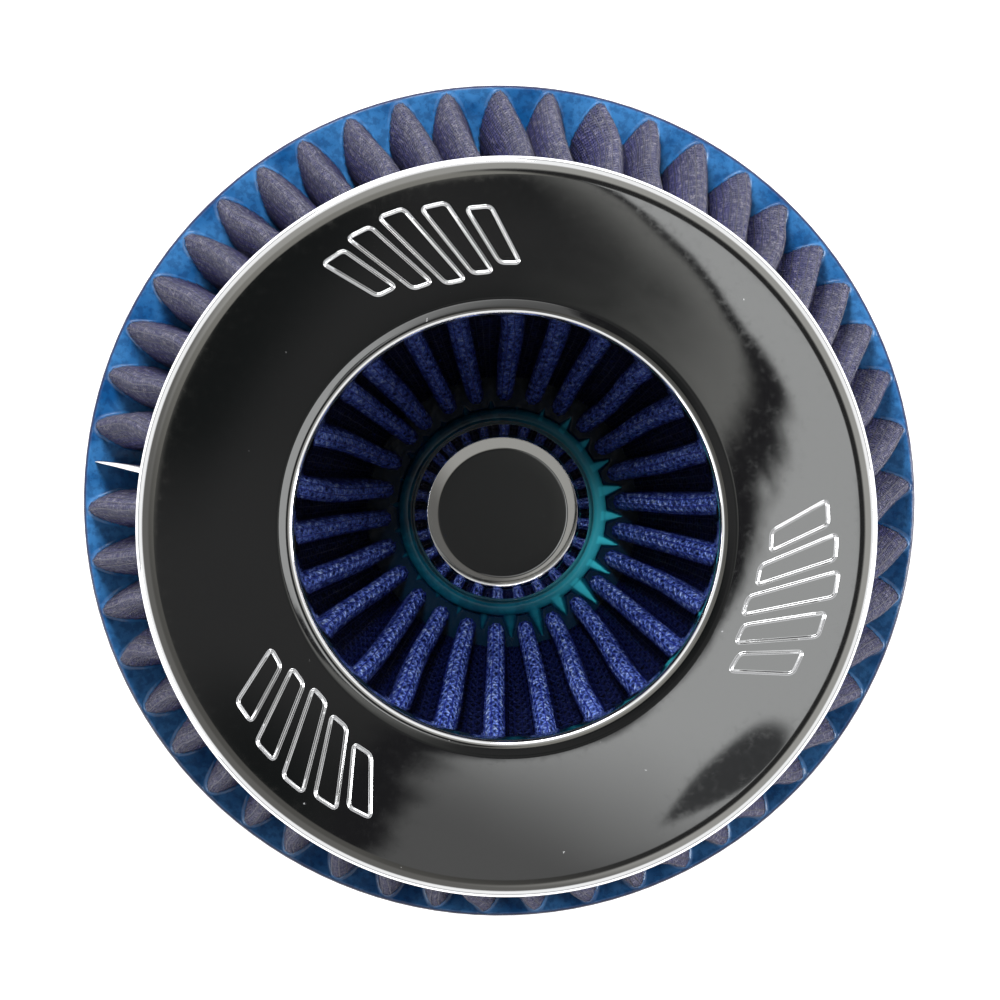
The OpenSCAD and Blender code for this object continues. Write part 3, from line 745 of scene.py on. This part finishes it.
def shape_from(name, verts, faces=(), edges=()):
    mesh = bpy.data.meshes.new(name)
    mesh.from_pydata(verts, edges, faces)
    piece = bpy.data.objects.new(name, mesh)
    scene.collection.objects.link(piece)
    bpy.ops.object.select_all(action="DESELECT")
    piece.select_set(True)
    bpy.context.view_layer.objects.active = piece
    return piece


def loft_faces(rings, count, closed, start=0):
    """Quads between rings of count points that follow each other, from the point start on."""
    faces = []
    for ring in range(rings if closed else rings - 1):
        here, there = start + ring * count, start + (ring + 1) % rings * count
        for k in range(count):
            j = (k + 1) % count
            faces.append((here + k, here + j, there + j, there + k))
    return faces


def turn_faces_out():
    """Makes the faces of the active piece, which is closed, point outwards."""
    bpy.ops.object.mode_set(mode="EDIT")
    bpy.ops.mesh.select_all(action="SELECT")
    bpy.ops.mesh.normals_make_consistent(inside=False)
    bpy.ops.object.mode_set(mode="OBJECT")


def spin(name, profile, steps):
    """Spins a closed profile of (radius, height) in mm about the axis."""
    count = len(profile)
    piece = shape_from(
        name, [(r * mm, 0, z * mm) for r, z in profile], edges=[(i, (i + 1) % count) for i in range(count)]
    )
    bpy.ops.object.mode_set(mode="EDIT")
    bpy.ops.mesh.select_all(action="SELECT")
    bpy.ops.mesh.spin(steps=steps, angle=math.tau, center=(0, 0, 0), axis=(0, 0, 1))
    bpy.ops.mesh.select_all(action="SELECT")
    bpy.ops.mesh.remove_doubles(threshold=1e-6)
    bpy.ops.mesh.normals_make_consistent(inside=False)
    bpy.ops.object.mode_set(mode="OBJECT")
    bpy.ops.object.shade_smooth_by_angle(angle=math.radians(50))
    return piece


def turned(centre, r, from_deg, to_deg, steps):
    """Points round centre; 0 degrees is straight up and 90 is outwards."""
    return [
        (centre[0] + r * math.sin(math.radians(a)), centre[1] + r * math.cos(math.radians(a)))
        for a in (blend(from_deg, to_deg, i / steps) for i in range(steps + 1))
    ]


def chained(start, arcs):
    """Arcs (radius, from angle, to angle, steps) that follow each other without a corner."""
    points = [start]
    for r, from_deg, to_deg, steps in arcs:
        at = points[-1]
        centre = (at[0] - r * math.sin(math.radians(from_deg)), at[1] - r * math.cos(math.radians(from_deg)))
        points += turned(centre, r, from_deg, to_deg, steps)[1:]
    return points


cap_r = radius("top_cap") / mm
cap_z = cap_top / mm
cap_low = cap_foot / mm
skirt = [(cap_r, cap_low + 0.4), (cap_r, cap_low + 2), (cap_r, cap_z - 4.5)]
groove_r, groove_deg = 36.25, 5.2
shell = chained(
    (cap_r, cap_z - 3.03),
    [(1.3, 90, 18, 14), (5, 18, 7.5, 6), (24, 7.5, 4.6, 4), (431, 4.6, 1.98, 12), (6, 1.98, -groove_deg, 10)],
)
face_end_r, face_end_z = shell[-1]
groove_z = face_end_z - (face_end_r - groove_r) * math.tan(math.radians(groove_deg))
shell += chained((groove_r, groove_z), [(12, -groove_deg, -9, 5), (0.95, -9, -80, 16)])
wall_r, wall_z = shell[-1]
hole = [(wall_r - 0.15, wall_z - 1.6), (wall_r - 0.35, wall_z - 4.0), (wall_r - 0.60, cap_z - 8.2)]
under = [
    (wall_r - 0.50, cap_z - 8.4), (wall_r + 0.20, cap_z - 8.4), (35.8, cap_z - 3.2), (37.2, cap_z - 2.2),
    (40.5, cap_z - 1.9), (57.0, cap_z - 2.5), (58.9, cap_z - 3.3), (59.4, cap_z - 4.4), (59.4, cap_low),
    (cap_r - 0.4, cap_low),
]
cap = spin("plated_cap", skirt + shell + hole + under, 288)
print("cap profile: highest", round(max(z for _, z in shell), 2), "and wall of the hole at radius",
      round(wall_r, 2), "from height", round(wall_z, 2))

button_z = button_top / mm
nose_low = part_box("nose_button")[0].z / mm
button_line = (
    [(0.0, nose_low), (0.0, button_z)] + [(r, button_z) for r in (4, 8)]
    + chained((10.6, button_z), [(3.2, 0, 8.8, 5), (72, 8.8, 10.3, 6), (0.22, 10.3, 90, 6)])
)
side_r = button_line[-1][0]
button_line += [(side_r, button_z - 3.3)]
button_line += [(r, button_z - 3.32 - 0.50 * (r - side_r)) for r in (side_r + 0.05, 13.8, 14.4, 15.2, 16.3)]
button_line += [(16.3, nose_low)]
print("button: outer radius", round(side_r, 2))
button = spin("plated_button", button_line, 96)
for piece, node in ((cap, "top_cap"), (button, "nose_button")):
    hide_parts(node)
    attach(piece, "filter")

# %% [markdown]
# The cap carries an ornament three times: five swept vanes in raised outline. Each outline is a loop on the
# cap's face, with rounded corners, along which a low ridge is swept.

# %% Ornament


def face_height(r):
    """The cap's face at radius r, in mm."""
    for (r1, z1), (r2, z2) in zip(shell, shell[1:]):
        if r2 <= r <= r1:
            return blend(z2, z1, (r - r2) / max(1e-9, r1 - r2))
    return shell[-1][1]


def rounded_loop(corners, cut, steps):
    """A closed loop through the corners, each rounded over the length cut."""
    loop = []
    for i, corner in enumerate(corners):
        before, after = corners[i - 1], corners[(i + 1) % len(corners)]
        come = corner + (before - corner).normalized() * cut
        go = corner + (after - corner).normalized() * cut
        for k in range(steps + 1):
            t = k / steps
            loop.append(come.lerp(corner, t).lerp(corner.lerp(go, t), t))
        for k in range(1, 8):
            loop.append(go.lerp(after + (corner - after).normalized() * cut, k / 8))
    return loop


def ridge(verts, faces, loop, width, height):
    """Sweeps a low round ridge along a loop of plane points in mm on the cap's face."""
    half = ((1, 0), (0.78, 0.22), (0.50, 0.55), (0.22, 0.86), (0.08, 0.98))
    section = [(u * width / 2, v * height) for u, v in half] + [(0, height)]
    section += [(-u * width / 2, v * height) for u, v in half[::-1]]
    section += [(-width / 2, -0.15), (width / 2, -0.15)]
    faces += loft_faces(len(loop), len(section), closed=True, start=len(verts))
    for i, p in enumerate(loop):
        way = (loop[(i + 1) % len(loop)] - loop[i - 1]).normalized()
        out = Vector((way.y, -way.x))
        for across, up in section:
            q = p + out * across
            verts.append((q.x * mm, q.y * mm, (face_height(q.length) + up) * mm))


vane_reach = (4.6, 6.0, 6.8, 6.0, 4.6)
vane_r, vane_pitch_deg, vane_half_deg, sweep_deg_per_mm = 47.6, 6.9, 2.2, 0.62
vane_rounding, ridge_width, ridge_height = 0.9, 0.66, 0.34
verts, faces = [], []
for centre_deg in (106, 226, 346):
    for i, reach in enumerate(vane_reach):
        at = centre_deg + (i - 2) * vane_pitch_deg
        corners = []
        for across, outwards in ((-1, -1), (1, -1), (1, 1), (-1, 1)):
            angle = math.radians(at + across * vane_half_deg + outwards * reach * sweep_deg_per_mm)
            r = vane_r + outwards * reach
            corners.append(Vector((r * math.cos(angle), r * math.sin(angle))))
        ridge(verts, faces, rounded_loop(corners, vane_rounding, 5), ridge_width, ridge_height)
ornament = shape_from("cap_ornament", verts, faces)
turn_faces_out()
bpy.ops.object.shade_smooth()
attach(ornament, "filter")
print("ornament:", len(faces), "faces")

# %% [markdown]
# ## Resin
#
# The packs' ends are cast into coloured resin. Before it set it crept up the gauze, so a small concave
# lip follows the fold line all round, uneven from pleat to pleat. At the nose a bead stands round the
# button, and in each valley a pointed tongue of resin runs outwards from it.

# %% Resin lip round the outer pleats


def resin_lip(name, pack, z, sink, reach, rise, seed):
    """A concave lip from the gauze's face out onto the resin at height z."""
    line = [p.copy() for p, _ in fold_line(pack, z, sink)[:-1]]
    n = len(line)
    rng = random.Random(seed)
    wave = [rng.uniform(0, math.tau) for _ in range(6)]
    into_cloth = 0.25
    section = (
        (-into_cloth, 1.03), (0.0, 1.0), (0.10, 0.62), (0.26, 0.33), (0.50, 0.12), (0.76, 0.03), (1.0, -0.02),
    )
    verts = []
    pleat_cols = 2 * half_steps + 1
    lead = 2 if pack["fin"] else 0
    for i, p in enumerate(line):
        way = (line[(i + 1) % n] - line[i - 1]).normalized()
        out = Vector((way.y, -way.x, 0))
        s = 1.0
        if lead <= i < n - lead:
            s = abs(((i - lead) % pleat_cols) / half_steps - 1)
        bumpy = sum(math.sin((k + 2) * i * 0.11 + w) for k, w in enumerate(wave)) / 6
        open_share = max(0.06, 1 - s ** 2.2)
        width = reach * open_share * (1 + 0.35 * bumpy)
        height = rise * open_share ** 0.5 * (1 + 0.8 * bumpy)
        if pack["side"] > 0:
            width = min(width, max(0.03 * mm, flange_r - 0.22 * mm - p.to_2d().length))
        for u, v in section:
            q = p + out * (width * u if u > 0 else reach * u)
            verts.append((q.x, q.y, z + height * v if v > 0 else z - 0.05 * mm))
        for u in (width, -into_cloth * reach):
            q = p + out * u
            verts.append((q.x, q.y, z - 0.6 * mm))
    piece = shape_from(name, verts, loft_faces(n, len(section) + 2, closed=True))
    turn_faces_out()
    bpy.ops.object.shade_smooth()
    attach(piece, "filter")
    return piece


outer_lip = resin_lip("flange_resin_lip", outer_pack, flange_top, 0.30 * mm, 1.0 * mm, 0.5 * mm, 3)

# The cast face between the pleats, level and closed up to the gauze
cast_z = flange_top / mm
cast_in_r, cast_out_r, cast_rise = 57, flange_r / mm - 0.7, 0.03
cast_line = [
    (cast_in_r, cast_z - 0.5), (cast_in_r, cast_z + cast_rise),
    (cast_out_r, cast_z + cast_rise), (cast_out_r + 0.12, cast_z - 0.3),
]
skin = spin("flange_cast_face", cast_line, 180)
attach(skin, "filter")

# %% Resin bead and tongues at the nose
low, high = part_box("nose_potting")
print("nose resin spans", [round(v / mm, 2) for v in (low.z, high.z, high.x)])
bead_in, bead_out, bead_h, tongues_from = 15.4, 17.7, 1.1, 16.8
resin_z = high.z / mm - 1.5
valleys = [lap_deg] + [lap_deg + lap_room / 2 + (i + 0.5) * inner_pitch for i in range(inner_count - 1)]
rng = random.Random(5)
tongues = []
for v in valleys:
    # The resin ran further on the right and the lower right of the picture
    much = 0.40 + 0.60 * max(0, math.cos(math.radians(v + 25))) ** 0.7
    length = much * rng.uniform(3.6, 6.2)
    wide = 0.5 + much * rng.uniform(0.8, 1.7)
    tongues.append((v, length, wide, much * rng.uniform(0.8, 1.3)))
radii = [15.4, 15.42, 15.5, 15.65, 15.9, 16.2, 16.6, 17.0, 17.3, 17.5, 17.62, 17.7]
radii += [bead_out + 0.35 * k for k in range(1, 18)]
mid = (bead_in + bead_out) / 2
steps = inner_count * 20
verts, lit = [], []
for k in range(steps):
    deg = 360 * k / steps
    ring = []
    for r in radii:
        share = max(0, 1 - abs((r - mid) / (bead_out - mid)) ** 2.4)
        z = resin_z + bead_h * math.sqrt(share) * (1 + 0.10 * math.sin(math.radians(deg) * 7 + 1))
        # The lit attribute paints light: the bead brighter towards the right of the picture, the tongues
        # brighter along their middles, and the rest dark, which is painted shade.
        much = max(0, math.cos(math.radians(deg - 5))) ** 0.8
        glow = 0.45 + 0.35 * much if r < bead_out else 0.0
        for at, length, wide, tall in tongues:
            off = abs((deg - at + 180) % 360 - 180)
            t = (r - tongues_from) / length
            if off > 8 or not 0 <= t < 1:
                continue
            half = wide * (1 - t) ** 0.9
            d = math.radians(off) * r / max(half, 1e-6)
            if d < 1:
                lift = tall * (1 - t) ** 0.8 * (1 - d * d)
                z = max(z, resin_z + lift)
                glow = max(glow, min(1, 1.6 * (1 - d)) * (0.4 + 0.6 * much))
        ring.append((r, z, glow))
    ring += [(radii[-1], resin_z - 3, 0), (bead_in + 0.05, resin_z - 3, 0.3)]
    a = math.radians(deg)
    for r, z, glow in ring:
        verts.append((r * math.cos(a) * mm, r * math.sin(a) * mm, z * mm))
        lit.append(glow)
nose_resin = shape_from("nose_resin", verts, loft_faces(steps, len(radii) + 2, closed=True))
layer = nose_resin.data.attributes.new("lit", "FLOAT", "POINT")
for i, v in enumerate(lit):
    layer.data[i].value = v
turn_faces_out()
bpy.ops.object.shade_smooth()
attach(nose_resin, "filter")
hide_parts("nose_potting")

# %% [markdown]
# ## Metal parts
#
# The seam clip is thin metal folded over the two ends of the gauze. It grows thinner towards the flange.
# The clamp's screw is a worm: one ridge winds round it and works in the slots of the band. Its shape is a
# grid round the screw's axis, and the driver slot is cut with a boolean.

# %% Seam clip
clip_steps = 24
clip_foot_r, clip_top_r, clip_foot_half, clip_top_half = 71.2, 59.0, 0.10, 0.42
half_section = [(-4.0, 1), (-0.25, 1), (-0.05, 0.8), (0.06, 0.4)]
clip_section = [(forward, -share) for forward, share in half_section] + [(0.10, 0)] + half_section[::-1]
verts = []
for k in range(clip_steps + 1):
    t = k / clip_steps
    a = math.radians(blend(clip_foot_deg, clip_top_deg, t))
    z = blend(flange_top + 0.1 * mm, cap_foot + 1.6 * mm, t)
    out, across = Vector((math.cos(a), math.sin(a), 0)), Vector((-math.sin(a), math.cos(a), 0))
    half = blend(clip_foot_half, clip_top_half, min(1, 1.6 * t) ** 0.7)
    for forward, share in clip_section:
        p = out * ((blend(clip_foot_r, clip_top_r, t) + forward) * mm) + across * (share * half * mm)
        verts.append((p.x, p.y, z))
m = len(clip_section)
faces = loft_faces(clip_steps + 1, m, closed=False)
faces += [tuple(range(m)), tuple(clip_steps * m + i for i in range(m))]
clip = shape_from("seam_clip", verts, faces)
turn_faces_out()
bpy.ops.object.shade_smooth_by_angle(angle=math.radians(40))
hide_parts("outer_seam_clip")
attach(clip, "filter")

# %% Worm screw
low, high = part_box("clamp_screw")
screw_y, screw_z = (low.y + high.y) / 2, (low.z + high.z) / 2
tip_x, end_x = low.x / mm, high.x / mm
groove_x, collar_x, head_x = 7.5, 8.8, end_x - 5.0
core_r, ridge_h, groove_r, collar_r = 2.85, 0.72, 2.5, 3.6
thread_pitch, across_flats = 3.0, 7.9
around = 60


def screw_radius(x, turn):
    """Radius at the length x, and at the turn round the axis from 0 to 1."""
    if x < groove_x - 0.4:
        phase = (x / thread_pitch - turn) % 1
        ridge = min(1, max(0, 1.9 * (0.5 - abs(phase - 0.5)) - 0.15) * 1.9)
        return min(core_r + ridge_h * ridge, 2.4 + (x - tip_x) * 0.9)
    if x < collar_x:
        return groove_r
    if x < head_x:
        return collar_r
    part = (turn * 6) % 1 - 0.5
    flat = across_flats / 2 / math.cos(part * math.pi / 3)
    return min(flat, across_flats / 2 + 0.05 + 0.9 * (end_x - x))


stations = [tip_x + 0.22 * k for k in range(int((groove_x - 0.45 - tip_x) / 0.22) + 1)]
stations += [groove_x - 0.41, groove_x - 0.39, collar_x - 0.01, collar_x + 0.01, head_x - 0.01, head_x + 0.01]
stations += [head_x + 2.5, end_x - 0.7, end_x - 0.35, end_x]
verts = []
for x in stations:
    for i in range(around):
        turn = i / around
        r, angle = screw_radius(x, turn) * mm, math.tau * turn
        verts.append((x * mm, screw_y + r * math.cos(angle), screw_z + r * math.sin(angle)))
faces = loft_faces(len(stations), around, closed=False)
faces += [tuple(range(around)), tuple((len(stations) - 1) * around + i for i in range(around))]
screw = shape_from("worm_screw", verts, faces)
turn_faces_out()
bpy.ops.object.select_all(action="DESELECT")
slot_size = (4 * mm, 16 * mm, 1.2 * mm)
bpy.ops.mesh.primitive_cube_add(size=1, location=(end_x * mm, screw_y, screw_z), scale=slot_size)
bpy.ops.object.transform_apply(location=True, rotation=True, scale=True)
cutter = bpy.context.object
cut = screw.modifiers.new("driver_slot", "BOOLEAN")
cut.object = cutter
cut.operation = "DIFFERENCE"
bpy.context.view_layer.objects.active = screw
bpy.ops.object.modifier_apply(modifier="driver_slot")
bpy.data.objects.remove(cutter)
bpy.ops.object.select_all(action="DESELECT")
screw.select_set(True)
bpy.context.view_layer.objects.active = screw
bpy.ops.object.shade_smooth_by_angle(angle=math.radians(40))
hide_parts("clamp_screw")
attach(screw, "screw")
turns = round((groove_x - tip_x) / thread_pitch, 1)
print("worm screw:", len(screw.data.vertices), "points,", turns, "turns of thread")

# %% [markdown]
# ## Finishes of the hard parts

# %% Resin, plate and steel


def finish(node, material):
    mesh = nodes[node].data if node in nodes else bpy.data.objects[node].data
    mesh.materials.clear()
    mesh.materials.append(material)


def place_and_radius(tree):
    """Object coordinates, and the distance from the filter's axis in mm."""
    place = add(tree, "ShaderNodeTexCoord")
    axes = tree.nodes.new("ShaderNodeSeparateXYZ")
    tree.links.new(place.outputs["Object"], axes.inputs[0])
    squares = [math_node(tree, "POWER", axes.outputs[k], 2.0) for k in ("X", "Y")]
    r = math_node(tree, "SQRT", math_node(tree, "ADD", *squares))
    return place.outputs["Object"], math_node(tree, "MULTIPLY", r, 1000.0)


def resin_finish(name, deep, main, pale, shine, shaded_edge_from=None, attribute=None, glow=None):
    material = new_material(name)
    tree = material.node_tree
    body = shader(tree, Specular_IOR_Level=shine, Coat_Weight=shine * 0.7, Coat_Roughness=0.06)
    place, r = place_and_radius(tree)
    noise = use_group(tree, mottle, Vector=place, Scale=110.0)
    colour = mix_colour(tree, ramp(tree, noise.outputs["Broad"], 0.30, 0.62), main, pale)
    streaks = math_node(tree, "MULTIPLY", ramp(tree, noise.outputs["Fine"], 0.56, 0.40), 0.35)
    colour = mix_colour(tree, streaks, colour, deep)
    # Past this radius the colour turns to the deep one: painted shade on the flange's side.
    if shaded_edge_from:
        colour = mix_colour(tree, ramp(tree, r, shaded_edge_from, shaded_edge_from + 0.5), colour, deep)
    # The attribute paints shade where it is low and light in the glow colour where it is high.
    if attribute:
        share = add(tree, "ShaderNodeAttribute", attribute_name=attribute)
        colour = mix_colour(tree, ramp(tree, share.outputs["Fac"], 0.0, 0.5), deep, colour)
        colour = mix_colour(tree, ramp(tree, share.outputs["Fac"], 0.5, 1.0), colour, glow)
    tree.links.new(colour, body.inputs["Base Color"])
    rough = math_node(tree, "MULTIPLY_ADD", noise.outputs["Fine"], 0.22, 0.04)
    tree.links.new(rough, body.inputs["Roughness"])
    height = math_node(tree, "MULTIPLY_ADD", noise.outputs["Fine"], 0.25, noise.outputs["Broad"])
    bump(tree, body, height, 0.6, 0.0006)
    return material


def chrome_finish(name):
    """Bright plate with a slight wave in it, fine scratches, and specks of dust."""
    material = new_material(name)
    tree = material.node_tree
    body = shader(tree, Base_Color=(0.86, 0.865, 0.87, 1))
    place, _ = place_and_radius(tree)
    noise = use_group(tree, mottle, Vector=place, Scale=120.0)
    tiny = use_group(tree, mottle, Vector=place, Scale=900.0)
    rough = math_node(tree, "MULTIPLY_ADD", ramp(tree, noise.outputs["Fine"], 0.45, 0.75), 0.030, 0.030)
    tree.links.new(rough, body.inputs["Roughness"])
    specks = math_node(tree, "MULTIPLY", ramp(tree, tiny.outputs["Broad"], 0.74, 0.79),
                       ramp(tree, noise.outputs["Broad"], 0.45, 0.60))
    metal = math_node(tree, "SUBTRACT", 1.0, math_node(tree, "MULTIPLY", specks, 0.6))
    tree.links.new(metal, body.inputs["Metallic"])
    wave = add(tree, "ShaderNodeTexNoise", in_Scale=45.0, in_Detail=0.0)
    tree.links.new(place, wave.inputs["Vector"])
    height = math_node(tree, "MULTIPLY_ADD", noise.outputs["Fine"], 0.003, wave.outputs["Fac"])
    bump(tree, body, height, 0.20, 0.0004)
    return material


def brushed_finish(name, colour, rough):
    """Rolled strip: fine lines that run along it, a little uneven shine, and bumps too small to see."""
    material = new_material(name)
    tree = material.node_tree
    body = shader(tree, Metallic=1.0)
    place = add(tree, "ShaderNodeTexCoord")
    drawn = add(tree, "ShaderNodeMapping", in_Scale=(1, 1, 14))
    tree.links.new(place.outputs["Object"], drawn.inputs["Vector"])
    lines = use_group(tree, mottle, Vector=drawn.outputs[0], Scale=90.0)
    stains = use_group(tree, mottle, Vector=place.outputs["Object"], Scale=160.0)
    shade = mix_colour(tree, lines.outputs["Fine"], tuple(c * 0.72 for c in colour), colour)
    tree.links.new(shade, body.inputs["Base Color"])
    dull = math_node(tree, "MULTIPLY_ADD", stains.outputs["Broad"], 0.22, rough - 0.10)
    tree.links.new(dull, body.inputs["Roughness"])
    bump(tree, body, lines.outputs["Fine"], 0.35, 0.0002)
    return material


chrome = chrome_finish("chrome_plate")
resin_blue = resin_finish("resin_blue", (0.004, 0.008, 0.060), (0.005, 0.076, 0.240), (0.040, 0.185, 0.440),
                          0.35, shaded_edge_from=72.3)
resin_teal = resin_finish("resin_teal", (0.001, 0.009, 0.022), (0.001, 0.018, 0.034), (0.002, 0.055, 0.085),
                          0.35, attribute="lit", glow=(0.035, 0.400, 0.480))
steel = brushed_finish("clamp_steel", (0.62, 0.63, 0.65), 0.28)
clip_metal = brushed_finish("clip_metal", (0.95, 0.95, 0.95), 0.40)
finish("plated_cap", chrome)
finish("cap_ornament", chrome)
finish("plated_button", chrome)
finish("base_flange", resin_blue)
finish("flange_resin_lip", resin_blue)
finish("flange_cast_face", resin_blue)
finish("top_potting", resin_blue)
finish("nose_resin", resin_teal)
finish("seam_clip", clip_metal)
for node in ("clamp_band", "clamp_housing", "worm_screw"):
    finish(node, steel)
